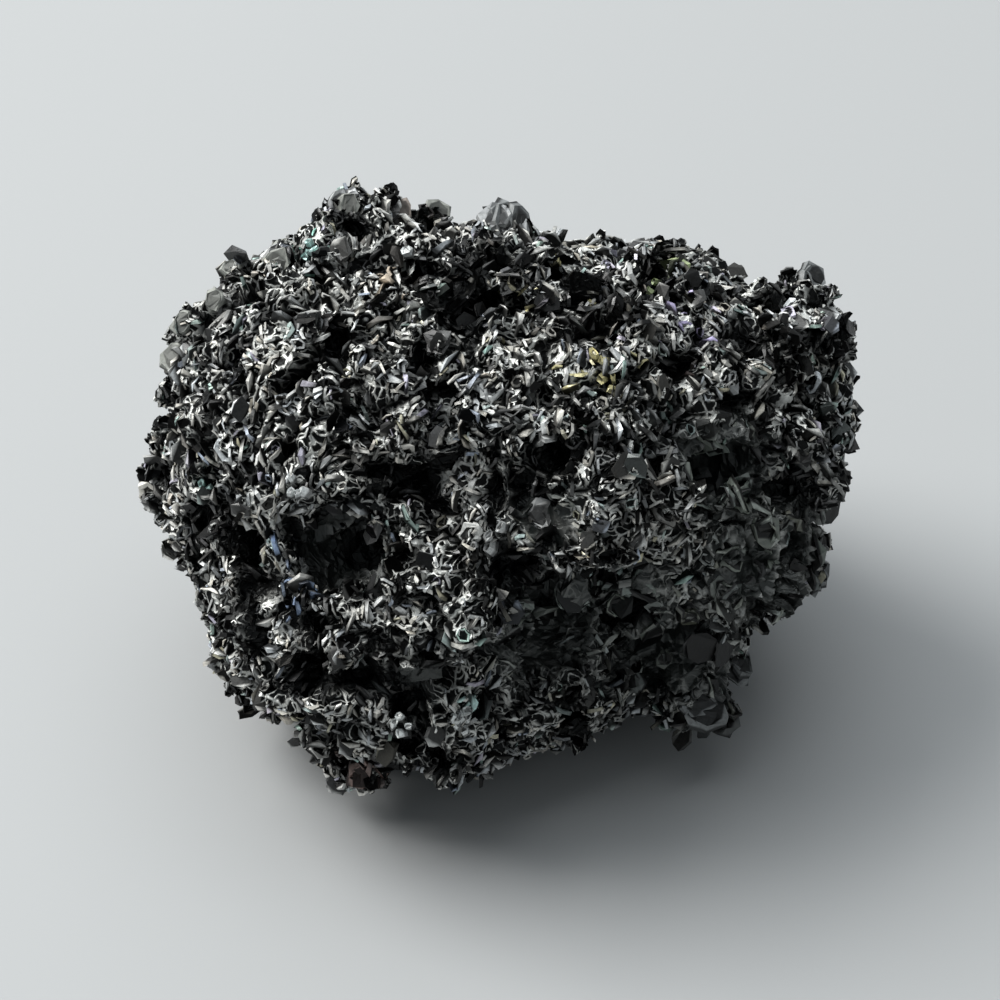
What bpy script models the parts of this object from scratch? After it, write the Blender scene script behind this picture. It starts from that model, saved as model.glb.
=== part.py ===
"""A silicon carbide cluster: one lump of intergrown six-sided tablets, at its real size.

Metres, +Z up. The lump rests on Z = 0, and the origin lies under the middle of its box.
The view side is what shows from in front, looking down at VIEW_TILT.
"""

import math
import random

import bmesh
import bpy
from mathutils import Matrix, Vector, noise

MM = 0.001
SEED = 91

# Directions of the view side: to its right, up in it, and out of it towards the eye
VIEW_TILT = math.radians(40)
ACROSS = Vector((1, 0, 0))
UP = Vector((0, math.sin(VIEW_TILT), math.cos(VIEW_TILT)))
NEAR = Vector((0, -math.cos(VIEW_TILT), math.sin(VIEW_TILT)))

# The rim as the view side shows it, clockwise from the peak, in millimetres across and up from the middle
RIM = (
    (-7.0, 13.9), (-5.5, 13.8), (-3.0, 12.5), (-1.8, 11.9), (-0.1, 13.0), (1.3, 12.4),
    (3.2, 11.9), (4.3, 11.2), (5.2, 11.8), (8.2, 11.0), (10.7, 10.0), (11.1, 9.4),
    (12.2, 9.4), (13.1, 9.8), (14.5, 9.2), (15.5, 8.2), (16.2, 6.4), (15.7, 4.8),
    (15.3, 3.4), (16.0, 1.5), (14.8, 0.9), (15.1, -2.4), (14.2, -4.2), (12.9, -4.4),
    (12.7, -5.2), (11.2, -6.3), (10.8, -7.3), (10.3, -8.8), (9.2, -10.3), (7.5, -10.2),
    (6.0, -10.0), (4.3, -10.8), (1.7, -11.7), (-1.9, -12.5), (-3.2, -11.9), (-4.9, -11.9),
    (-5.7, -12.8), (-7.1, -12.0), (-9.0, -10.5), (-11.8, -8.4), (-12.4, -6.9), (-13.6, -5.4),
    (-13.8, -4.1), (-14.7, -2.1), (-15.8, -0.9), (-15.6, 0.9), (-14.9, 3.9), (-14.8, 6.2),
    (-13.7, 8.7), (-12.2, 10.1), (-10.7, 10.9), (-9.0, 11.4), (-7.7, 11.9),
)
RIM_ROOM = 0.8  # the crystals stand this far out of the mass, in millimetres
RIM_BAND = math.radians(22)  # how far from the rim its small steps reach
RIM_BLUR = math.radians(24)  # window that smooths the rim away from there
BLUR_STEPS = 6
NEAR_DEPTH = 12.4
FAR_DEPTH = 12.8

# Swells and hollows of the view side: across, up, height and spread in millimetres
NEAR_FORMS = {
    "peak_swell": (-6.0, 11.8, 1.2, 1.9),
    "upper_left_swell": (-9.9, 7.0, 0.7, 3.0),
    "top_swell": (0.0, 11.6, 0.6, 1.6),
    "right_lobe": (13.2, 7.6, 0.9, 2.6),
    "gold_knob": (4.3, 4.9, 0.8, 1.5),
    "left_knob": (-7.7, 3.0, 0.7, 1.6),
    "middle_knob": (-0.6, -2.3, 1.5, 1.5),
    "middle_ridge": (3.4, -0.8, 1.2, 2.0),
    "lower_left_lobe": (-7.2, -7.2, 1.6, 3.6),
    "front_knob": (-1.6, -9.6, 1.4, 1.5),
    "right_ledge": (10.6, -4.2, 1.2, 1.6),
    "left_pocket": (-6.2, -2.6, -2.6, 1.7),
    "left_cleft": (-12.2, -2.4, -1.2, 1.5),
    "under_slope": (6.5, -4.8, -2.0, 4.6),
    "under_hollow": (2.9, -6.2, -3.4, 2.6),
    "right_hollow": (9.2, 1.6, -2.0, 2.2),
    "lower_right_hollow": (6.8, -7.8, -1.8, 1.8),
}
# The same for the side that faces away
FAR_FORMS = {
    "back_lobe": (6.5, 3.0, 1.4, 3.2),
    "back_left_lobe": (-8.0, 2.0, 1.2, 3.4),
    "back_hollow": (-1.0, 5.0, -1.8, 2.4),
    "back_right_hollow": (10.5, -2.0, -1.4, 1.6),
    "back_left_hollow": (-11.0, -3.0, -1.4, 1.8),
}

# Narrow pits between crystals: across, up, side (1 near, -1 far), half the width and depth
PITS = {
    "top_pit": (0.2, 8.0, 1, 1.3, 1.9),
    "top_left_pit": (-2.6, 9.0, 1, 1.0, 1.4),
    "top_right_pit": (2.7, 9.3, 1, 1.0, 1.4),
    "top_slot": (8.4, 8.2, 1, 0.9, 1.3),
    "right_lobe_pit": (12.3, 6.0, 1, 1.0, 1.4),
    "upper_left_pit": (-10.9, 5.4, 1, 1.0, 1.3),
    "middle_pit": (-2.1, 3.4, 1, 1.2, 1.7),
    "second_middle_pit": (1.7, 4.1, 1, 1.1, 1.6),
    "long_pit": (6.4, 1.4, 1, 1.0, 1.4),
    "left_wall_pit": (-12.0, 1.0, 1, 1.0, 1.3),
    "pocket": (-6.6, -2.6, 1, 1.6, 1.9),
    "small_pocket": (-4.0, -2.4, 1, 1.0, 1.4),
    "front_pit": (-3.6, -9.3, 1, 1.1, 1.7),
    "hollow_pit": (2.7, -5.0, 1, 1.6, 1.8),
    "deep_hollow_pit": (6.9, -6.6, 1, 1.5, 1.8),
    "right_pit": (9.6, 1.2, 1, 1.3, 1.6),
    "far_pit": (0.5, 2.0, -1, 1.4, 1.8),
    "far_left_pit": (-6.0, -1.5, -1, 1.2, 1.6),
    "far_right_pit": (7.0, -1.0, -1, 1.2, 1.6),
    "far_upper_pit": (3.0, 7.5, -1, 1.1, 1.5),
}
PIT_SIDES = 5
PIT_MOUTH = 1.15  # width of a pit's mouth and of its bottom, against its stated width
PIT_BOTTOM = 0.5
PIT_SQUEEZE = (0.55, 0.85)  # a pit is this much narrower one way than the other
PIT_LEAN = math.radians(24)

# Small lumps all over the mass, as noise: height and the distance between lumps, in millimetres
LUMPS = ((0.9, 4.4), (0.5, 2.1))
MASS_DETAIL = 5  # icosphere subdivisions
MASS_KEEP = 0.07  # share of its triangles that is kept

# The underside is flatter than the rest, and trimmed where it rests
UNDERSIDE = -8.2
UNDERSIDE_PRESS = 0.45
REST_LEVEL = -9.6

# Crystals that stick out all over, thin tablets among thicker blocks
SPACING = 2.1  # the least between the feet of two of them
PLACES_TRIED = 6000
BLOCK_SHARE = 0.4
TABLET_RADIUS = (1.3, 2.3)
TABLET_THICKNESS = (0.5, 1.0)
BLOCK_RADIUS = (1.1, 1.8)
BLOCK_THICKNESS = (1.2, 2.2)
TAPER = 0.86  # a crystal's upper face against its lower one
STAND = (0.4, 1.2)  # how far a crystal stands out of the mass
UNDERSIDE_BARE = -0.97  # no crystals where the mass faces down more than this
LEAN = math.radians(50)  # the most that a crystal leans from standing on edge

# Large tablets: across, up, side (1 near, -1 far), radius, thickness, stand, and
# the way that the broad face looks, as across, up and near
LARGE_TABLETS = {
    "peak_plate": (-6.4, 11.6, 1, 1.7, 0.6, 0.9, (0.2, -0.2, 1.0)),
    "top_plate": (-2.4, 11.2, 1, 1.4, 0.55, 0.4, (-0.3, 0.5, 0.8)),
    "second_bump_plate": (0.2, 11.8, 1, 1.3, 0.6, 0.6, (0.3, 0.2, 0.9)),
    "upper_left_plate": (-9.4, 9.6, 1, 1.9, 0.6, 0.5, (-0.5, 0.4, 0.8)),
    "right_lobe_plate": (14.4, 7.6, 1, 1.6, 0.7, 0.6, (0.6, 0.2, 0.7)),
    "right_tip_plate": (15.0, 5.9, 1, 1.2, 0.5, 0.7, (0.3, -0.5, 0.8)),
    "right_spur": (14.6, 1.5, 1, 1.5, 0.6, 0.7, (0.1, -0.9, 0.5)),
    "right_wall_plate": (14.0, -1.2, 1, 1.9, 0.8, 0.4, (0.8, 0.1, 0.6)),
    "right_step": (13.3, -3.3, 1, 1.5, 0.9, 0.7, (0.5, -0.3, 0.8)),
    "right_ledge_plate": (10.3, -4.6, 1, 1.9, 0.6, 0.6, (0.1, 0.3, 0.9)),
    "lower_right_plate": (8.7, -9.0, 1, 2.1, 0.7, 0.9, (0.2, -0.2, 1.0)),
    "lower_right_spur": (10.6, -7.4, 1, 1.2, 0.5, 0.5, (0.8, 0.3, 0.5)),
    "middle_plate": (2.0, -1.4, 1, 2.1, 0.6, 0.3, (-0.2, -0.3, 0.9)),
    "middle_block": (-0.6, -2.6, 1, 1.1, 0.8, 0.5, (0.1, 0.5, 0.8)),
    "second_middle_plate": (5.0, -2.3, 1, 1.2, 0.5, 0.4, (0.2, 0.4, 0.8)),
    "hollow_blade": (4.8, -7.0, 1, 1.5, 0.5, 0.6, (0.9, 0.1, 0.4)),
    "hollow_ridge_blade": (8.4, -6.8, 1, 1.9, 0.5, 0.6, (-0.3, 0.8, 0.5)),
    "pocket_roof": (-5.0, -1.2, 1, 1.9, 0.5, 0.6, (0.2, 0.9, 0.4)),
    "pocket_side": (-3.3, 0.3, 1, 1.4, 0.5, 0.5, (0.9, 0.2, 0.5)),
    "front_knob_plate": (-1.7, -9.7, 1, 1.3, 0.6, 0.5, (-0.3, 0.2, 0.9)),
    "front_foot_plate": (-5.9, -11.5, 1, 1.5, 0.6, 0.6, (0.2, -0.8, 0.6)),
    "left_tip_plate": (-14.6, -0.9, 1, 1.3, 0.5, 0.7, (-0.3, -0.6, 0.7)),
    "left_wall_plate": (-13.6, 5.0, 1, 1.6, 0.6, 0.4, (-0.8, 0.3, 0.6)),
    "left_edge_plate": (-12.4, -5.6, 1, 1.4, 0.5, 0.6, (-0.6, -0.4, 0.7)),
    "back_plate": (4.0, 2.0, -1, 2.2, 0.7, 0.5, (0.2, 0.3, -0.9)),
    "back_left_plate": (-7.0, 3.5, -1, 2.0, 0.7, 0.5, (-0.4, 0.2, -0.9)),
    "back_right_blade": (9.5, 5.0, -1, 1.8, 0.6, 0.8, (0.9, 0.3, -0.3)),
    "back_low_plate": (-2.0, 8.5, -1, 1.9, 0.6, 0.5, (0.1, 0.8, -0.5)),
}

# Finish of the crystals
COLOUR = (0.055, 0.057, 0.06, 1)
METALLIC = 0.6
ROUGHNESS = 0.32

# How a place in the view is found on the surface, by small steps
LEAN_TRIES = 30
LEAN_EASE = 0.6
STEEPEST = math.radians(86)

BIT_OF_SPACE = 2 * MM  # the trimming block reaches this far past the mass
MERGE = 0.002 * MM
FLAT = math.radians(1)  # faces that turn less than this become one


def clear_scene():
    """Removes the objects that the scene starts with."""
    for thing in list(bpy.data.objects):
        bpy.data.objects.remove(thing)


def blend(first, second, share):
    """The value that lies at share of the way from first to second."""
    return first + (second - first) * share


def rim_polar():
    """The rim as angle and distance, in order of angle."""
    return sorted((math.atan2(up, across), math.hypot(across, up)) for across, up in RIM)


def rim_distance(polar, angle):
    """Distance in millimetres from the middle to the rim at an angle in the view."""
    angle = math.remainder(angle, math.tau)
    before = max((p for p in polar if p[0] <= angle), default=(polar[-1][0] - math.tau, polar[-1][1]))
    after = min((p for p in polar if p[0] > angle), default=(polar[0][0] + math.tau, polar[0][1]))
    share = (angle - before[0]) / (after[0] - before[0])
    return blend(before[1], after[1], share)


def smooth_rim_distance(polar, angle):
    """The same distance, averaged over RIM_BLUR on both sides."""
    offsets = [RIM_BLUR * step / BLUR_STEPS for step in range(-BLUR_STEPS, BLUR_STEPS + 1)]
    return sum(rim_distance(polar, angle + offset) for offset in offsets) / len(offsets)


def plain_radius(polar, direction):
    """Distance to the surface before any swell or hollow, in millimetres."""
    lean = math.asin(max(-1.0, min(1.0, direction.dot(NEAR))))
    angle = math.atan2(direction.dot(UP), direction.dot(ACROSS))
    rim = blend(
        smooth_rim_distance(polar, angle),
        rim_distance(polar, angle),
        math.exp(-((lean / RIM_BAND) ** 2)),
    )
    depth = NEAR_DEPTH if lean > 0 else FAR_DEPTH
    return 1 / math.hypot(math.cos(lean) / (rim - RIM_ROOM), math.sin(lean) / depth)


def direction_at(polar, across, up, side):
    """Direction from the middle to the plain surface where the view shows it at across and up."""
    flat = ACROSS * across + UP * up
    lean = 0.0
    for _ in range(LEAN_TRIES):
        direction = (flat.normalized() * math.cos(lean) + NEAR * side * math.sin(lean)).normalized()
        shown = plain_radius(polar, direction) * math.cos(lean)
        lean += (shown - flat.length) / shown * LEAN_EASE
        lean = min(STEEPEST, max(0.0, lean))
    return direction


def pressed(point):
    """The point, raised towards the underside's level where it lies below it."""
    level = UNDERSIDE * MM
    if point.z >= level:
        return point
    return Vector((point.x, point.y, level + (point.z - level) * UNDERSIDE_PRESS))


def surface_point(polar, forms, direction):
    """Where the mass's surface lies in a direction from its middle, in metres."""
    radius = plain_radius(polar, direction)
    for centre, height, spread in forms:
        away = radius * direction.angle(centre)
        radius += height * math.exp(-((away / spread) ** 2))
    for height, spacing in LUMPS:
        place = direction * radius / spacing
        radius += height * noise.noise(place + Vector((SEED, 0, 0)))
    return pressed(direction * radius * MM)


def placed_forms(polar):
    """All swells and hollows as a direction, a height and a spread."""
    placed = []
    for side, forms in ((1, NEAR_FORMS), (-1, FAR_FORMS)):
        for across, up, height, spread in forms.values():
            placed.append((direction_at(polar, across, up, side), height, spread))
    return placed


def new_object(name, bm):
    """A scene object that holds the bmesh."""
    mesh = bpy.data.meshes.new(name)
    bm.to_mesh(mesh)
    bm.free()
    made = bpy.data.objects.new(name, mesh)
    bpy.context.scene.collection.objects.link(made)
    return made


def helper(made):
    """Marks an object that only cuts or joins another."""
    made.hide_render = True
    made.display_type = "WIRE"
    return made


def evaluated_mesh(made):
    """A mesh with the object's modifiers applied."""
    bpy.context.view_layer.update()
    graph = bpy.context.evaluated_depsgraph_get()
    return bpy.data.meshes.new_from_object(made.evaluated_get(graph))


def build_mass(polar, forms):
    """The lump without its crystals, with fewer triangles where it is plain."""
    bm = bmesh.new()
    bmesh.ops.create_icosphere(bm, subdivisions=MASS_DETAIL, radius=1)
    for vert in bm.verts:
        vert.co = surface_point(polar, forms, vert.co.normalized())
    mass = new_object("silicon_carbide_cluster", bm)
    thin_out = mass.modifiers.new("thin_out", "DECIMATE")
    thin_out.ratio = MASS_KEEP
    mesh = evaluated_mesh(mass)
    mass.modifiers.clear()
    mass.data = mesh
    bpy.context.view_layer.update()
    return mass


def facing(looks, spin):
    """Rotation that points a shape's Z along looks, after a turn about it."""
    return looks.to_track_quat("Z", "Y").to_matrix().to_4x4() @ Matrix.Rotation(spin, 4, "Z")


def add_crystal(bm, middle, looks, spin, radius, thickness):
    """One six-sided crystal with slanting sides, its broad face pointing along looks."""
    bmesh.ops.create_cone(
        bm,
        segments=6,
        cap_ends=True,
        radius1=radius,
        radius2=radius * TAPER,
        depth=thickness,
        matrix=Matrix.Translation(middle) @ facing(looks, spin),
    )


def reach_along(looks, outward, radius, thickness):
    """How far a crystal reaches from its middle in the outward direction."""
    on_edge = math.sqrt(max(0.0, 1 - looks.dot(outward) ** 2))
    return radius * on_edge + thickness / 2 * abs(looks.dot(outward))


def on_mass(mass, direction):
    """Where the mass's surface lies in a direction from its middle."""
    found, place, normal, face = mass.ray_cast(Vector((0, 0, 0)), direction)
    return place


def place_in(face, mesh, chance):
    """A random point of a triangular face."""
    first, second, third = [mesh.vertices[index].co for index in face.vertices]
    share, other = sorted((chance.random(), chance.random()))
    return first * share + second * (other - share) + third * (1 - other)


def spread_places(mass, chance):
    """Points all over the mass, each with the way out of it, no two nearer than SPACING."""
    mesh = mass.data
    faces = [face for face in mesh.polygons if face.normal.z > UNDERSIDE_BARE]
    chosen = chance.choices(faces, [face.area for face in faces], k=PLACES_TRIED)
    places = []
    for face in chosen:
        place = place_in(face, mesh, chance)
        if all((place - other).length > SPACING * MM for other, _ in places):
            places.append((place, face.normal.copy()))
    return places


def add_scattered_crystals(bm, mass, chance):
    """The crystals that cover the mass, each turned its own way."""
    for place, outward in spread_places(mass, chance):
        block = chance.random() < BLOCK_SHARE
        radius = chance.uniform(*(BLOCK_RADIUS if block else TABLET_RADIUS)) * MM
        thickness = chance.uniform(*(BLOCK_THICKNESS if block else TABLET_THICKNESS)) * MM
        along = outward.orthogonal()
        along.rotate(Matrix.Rotation(chance.uniform(0, math.tau), 3, outward))
        lean = chance.uniform(-LEAN, LEAN)
        looks = (along * math.cos(lean) + outward * math.sin(lean)).normalized()
        stand = chance.uniform(*STAND) * MM
        middle = place + outward * (stand - reach_along(looks, outward, radius, thickness))
        add_crystal(bm, middle, looks, chance.uniform(0, math.tau), radius, thickness)


def add_large_tablets(bm, mass, polar, chance):
    """The tablets that are large enough to be told apart in the view."""
    for across, up, side, radius, thickness, stand, looks in LARGE_TABLETS.values():
        outward = direction_at(polar, across, up, side)
        looks = (ACROSS * looks[0] + UP * looks[1] + NEAR * looks[2]).normalized()
        inward = stand - reach_along(looks, outward, radius, thickness)
        middle = on_mass(mass, outward) + outward * inward * MM
        add_crystal(bm, middle, looks, chance.uniform(0, math.tau), radius * MM, thickness * MM)


def build_crystals(mass, polar):
    """All crystals as one object, before they are joined to the mass."""
    chance = random.Random(SEED)
    bm = bmesh.new()
    add_scattered_crystals(bm, mass, chance)
    add_large_tablets(bm, mass, polar, chance)
    return helper(new_object("crystals", bm))


def build_pits(mass, polar):
    """Leaning five-sided cones, wide end out, that hollow out the pits."""
    chance = random.Random(SEED)
    bm = bmesh.new()
    for across, up, side, width, depth in PITS.values():
        outward = direction_at(polar, across, up, side)
        lean = Matrix.Rotation(chance.uniform(-PIT_LEAN, PIT_LEAN), 4, "X")
        squeeze = Matrix.Scale(chance.uniform(*PIT_SQUEEZE), 4, (1, 0, 0))
        turn = facing(outward, chance.uniform(0, math.tau)) @ lean @ squeeze
        bmesh.ops.create_cone(
            bm,
            segments=PIT_SIDES,
            cap_ends=True,
            radius1=width * PIT_BOTTOM * MM,
            radius2=width * PIT_MOUTH * MM,
            depth=2 * depth * MM,
            matrix=Matrix.Translation(on_mass(mass, outward)) @ turn,
        )
    return helper(new_object("pits", bm))


def build_ground(mass):
    """The block that trims the underside level."""
    reach = max(max(abs(c) for c in vert.co) for vert in mass.data.vertices) + BIT_OF_SPACE
    bm = bmesh.new()
    bmesh.ops.create_cube(bm, size=2 * reach)
    bmesh.ops.translate(bm, verts=bm.verts, vec=(0, 0, REST_LEVEL * MM - reach))
    return helper(new_object("ground", bm))


def combine(mass, other, operation):
    """Adds a Boolean of another object to the mass."""
    step = mass.modifiers.new(other.name, "BOOLEAN")
    step.operation = operation
    step.object = other
    step.use_self = True


def join(mass, crystals, pits, ground):
    """One closed mesh of the mass and its crystals, pitted, and trimmed below."""
    combine(mass, crystals, "UNION")
    combine(mass, pits, "DIFFERENCE")
    combine(mass, ground, "DIFFERENCE")
    mesh = evaluated_mesh(mass)
    mass.modifiers.clear()
    mass.data = mesh


def islands_of(bm):
    """The bmesh's faces as lists of those that hang together by whole edges."""
    left = set(bm.faces)
    while left:
        found = [left.pop()]
        for face in found:
            whole_edges = [edge for edge in face.edges if len(edge.link_faces) == 2]
            touching = {other for edge in whole_edges for other in edge.link_faces} & left
            left -= touching
            found.extend(touching)
        yield found


def keep_largest(bm):
    """Drops sealed pockets and crumbs that only touch the rest."""
    for island in sorted(islands_of(bm), key=len)[:-1]:
        bmesh.ops.delete(bm, geom=island, context="FACES")


def tidy(mass):
    """Keeps one closed body, joins its flat triangles, and puts the origin under its middle."""
    bm = bmesh.new()
    bm.from_mesh(mass.data)
    keep_largest(bm)
    bmesh.ops.remove_doubles(bm, verts=bm.verts, dist=MERGE)
    keep_largest(bm)
    bmesh.ops.dissolve_limit(bm, angle_limit=FLAT, verts=bm.verts, edges=bm.edges)
    bmesh.ops.triangulate(bm, faces=bm.faces)
    low = Vector([min(vert.co[i] for vert in bm.verts) for i in range(3)])
    high = Vector([max(vert.co[i] for vert in bm.verts) for i in range(3)])
    middle = (low + high) / 2
    bmesh.ops.translate(bm, verts=bm.verts, vec=(-middle.x, -middle.y, -low.z))
    bm.to_mesh(mass.data)
    bm.free()


def carbide_material():
    """Dark grey crystal with a metal-like shine."""
    material = bpy.data.materials.new("silicon_carbide")
    material.use_nodes = True
    shader = material.node_tree.nodes["Principled BSDF"]
    shader.inputs["Base Color"].default_value = COLOUR
    shader.inputs["Metallic"].default_value = METALLIC
    shader.inputs["Roughness"].default_value = ROUGHNESS
    return material


def main():
    """Builds the cluster."""
    clear_scene()
    polar = rim_polar()
    forms = placed_forms(polar)
    mass = build_mass(polar, forms)
    crystals = build_crystals(mass, polar)
    pits = build_pits(mass, polar)
    ground = build_ground(mass)
    join(mass, crystals, pits, ground)
    tidy(mass)
    mass.data.materials.clear()
    mass.data.materials.append(carbide_material())


main()
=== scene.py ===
"""Looks of the silicon carbide cluster: a dark crust overgrown with thousands of fine crystals.

Everything is in metres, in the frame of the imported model. MM turns the real sizes below into metres.
"""

import logging
import math
from dataclasses import dataclass, field
from enum import Enum

import bmesh
import bpy
import numpy as np
from mathutils import Matrix, Vector, noise


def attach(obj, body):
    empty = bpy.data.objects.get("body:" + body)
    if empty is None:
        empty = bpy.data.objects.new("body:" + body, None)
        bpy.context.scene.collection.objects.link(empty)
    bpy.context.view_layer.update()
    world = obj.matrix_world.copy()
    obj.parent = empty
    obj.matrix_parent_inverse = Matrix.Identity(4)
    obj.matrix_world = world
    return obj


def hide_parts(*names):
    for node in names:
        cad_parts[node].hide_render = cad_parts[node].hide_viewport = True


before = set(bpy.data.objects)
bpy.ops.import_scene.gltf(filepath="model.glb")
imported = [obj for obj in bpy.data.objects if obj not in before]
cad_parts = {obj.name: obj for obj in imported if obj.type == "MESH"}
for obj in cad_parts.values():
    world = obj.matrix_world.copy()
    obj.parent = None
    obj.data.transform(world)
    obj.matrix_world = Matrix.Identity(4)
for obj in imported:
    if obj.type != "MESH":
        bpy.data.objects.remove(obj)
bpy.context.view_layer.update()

MM = 0.001
NODE = "silicon_carbide_cluster"
BODY = "root"
SEED = 91

log = logging.getLogger("silicon_carbide_cluster")

Colour = tuple[float, float, float]
Triple = tuple[float, float, float]


@dataclass(frozen=True)
class EyeView:
    """Where the photograph looks from, and the directions that it sees."""

    target: Triple = (0.0, 0.0, 9.0)
    elevation: float = math.radians(40)
    distance: float = 119.0
    lens: float = 100.0
    sensor: float = 36.0
    shift: float = 0.01

    @property
    def across(self) -> Vector:
        """The direction to the right in the view."""
        return Vector((1, 0, 0))

    @property
    def up(self) -> Vector:
        """The direction upwards in the view."""
        return Vector((0, math.sin(self.elevation), math.cos(self.elevation)))

    @property
    def near(self) -> Vector:
        """The direction out of the view, towards the eye."""
        return Vector((0, -math.cos(self.elevation), math.sin(self.elevation)))

    @property
    def middle(self) -> Vector:
        """The point that the view is aimed at."""
        return Vector(self.target) * MM

    @property
    def eye(self) -> Vector:
        """The place of the eye."""
        return self.middle + self.near * self.distance * MM

    def turned(self, parts: Triple) -> Vector:
        """A direction given as parts across, up and near.

        Args:
            parts: How much of it lies across, up and near.

        Returns:
            The unit direction in the model's frame.
        """
        return (self.across * parts[0] + self.up * parts[1] + self.near * parts[2]).normalized()

    def seen_on(self, thing: bpy.types.Object, across: float, up: float) -> tuple[Vector, Vector]:
        """Where a point of the view falls on an object, or the nearest one towards the view's middle.

        Args:
            thing: The object that is looked at.
            across: Millimetres to the right of the view's middle, at its distance.
            up: Millimetres above the view's middle.

        Returns:
            The place on the object and its normal there.

        Raises:
            ValueError: If nothing of the object is seen on the way to the middle.
        """
        for step in range(20):
            share = 1 - step * 0.02
            aim = self.middle + (self.across * across + self.up * up) * share * MM
            found, place, normal, _ = thing.ray_cast(self.eye, (aim - self.eye).normalized())
            if found:
                return place, normal
        raise ValueError(f"nothing of {thing.name} is seen at {across}, {up}")

    def camera(self) -> bpy.types.Object:
        """Makes the camera and sets it as the scene's.

        Returns:
            The camera object.
        """
        data = bpy.data.cameras.new("camera")
        data.lens = self.lens
        data.sensor_width = self.sensor
        data.shift_y = self.shift
        data.clip_start = 5 * MM
        data.clip_end = 2000 * MM
        camera = bpy.data.objects.new("camera", data)
        camera.location = self.eye
        camera.rotation_euler = (math.pi / 2 - self.elevation, 0, 0)
        bpy.context.scene.collection.objects.link(camera)
        bpy.context.scene.camera = camera
        return camera


VIEW = EyeView()


class Shade:
    """A socket of a material's node tree, with arithmetic that adds Math nodes."""

    def __init__(self, paint: "Paint", socket: bpy.types.NodeSocket) -> None:
        """Wraps a socket.

        Args:
            paint: The material that the socket belongs to.
            socket: The output socket.
        """
        self.paint = paint
        self.socket = socket

    def _math(self, operation: str, first: "Shade | float", second: "Shade | float") -> "Shade":
        """Adds a Math node.

        Args:
            operation: The node's operation.
            first: Its first value.
            second: Its second value.

        Returns:
            The node's result.
        """
        node = self.paint.node("ShaderNodeMath", {"operation": operation}, {0: first, 1: second})
        return Shade(self.paint, node.outputs[0])

    def __add__(self, other: "Shade | float") -> "Shade":
        """Sum."""
        return self._math("ADD", self, other)

    def __radd__(self, other: float) -> "Shade":
        """Sum, the number first."""
        return self._math("ADD", other, self)

    def __sub__(self, other: "Shade | float") -> "Shade":
        """Difference."""
        return self._math("SUBTRACT", self, other)

    def __rsub__(self, other: float) -> "Shade":
        """Difference, the number first."""
        return self._math("SUBTRACT", other, self)

    def __mul__(self, other: "Shade | float") -> "Shade":
        """Product."""
        return self._math("MULTIPLY", self, other)

    def __rmul__(self, other: float) -> "Shade":
        """Product, the number first."""
        return self._math("MULTIPLY", other, self)

    def folded(self) -> "Shade":
        """Waves up and down between 0 and 1 as this grows, once for each 2."""
        return self._math("PINGPONG", self, 1.0)

    def highest(self, other: "Shade | float") -> "Shade":
        """The larger of this and another."""
        return self._math("MAXIMUM", self, other)


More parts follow.
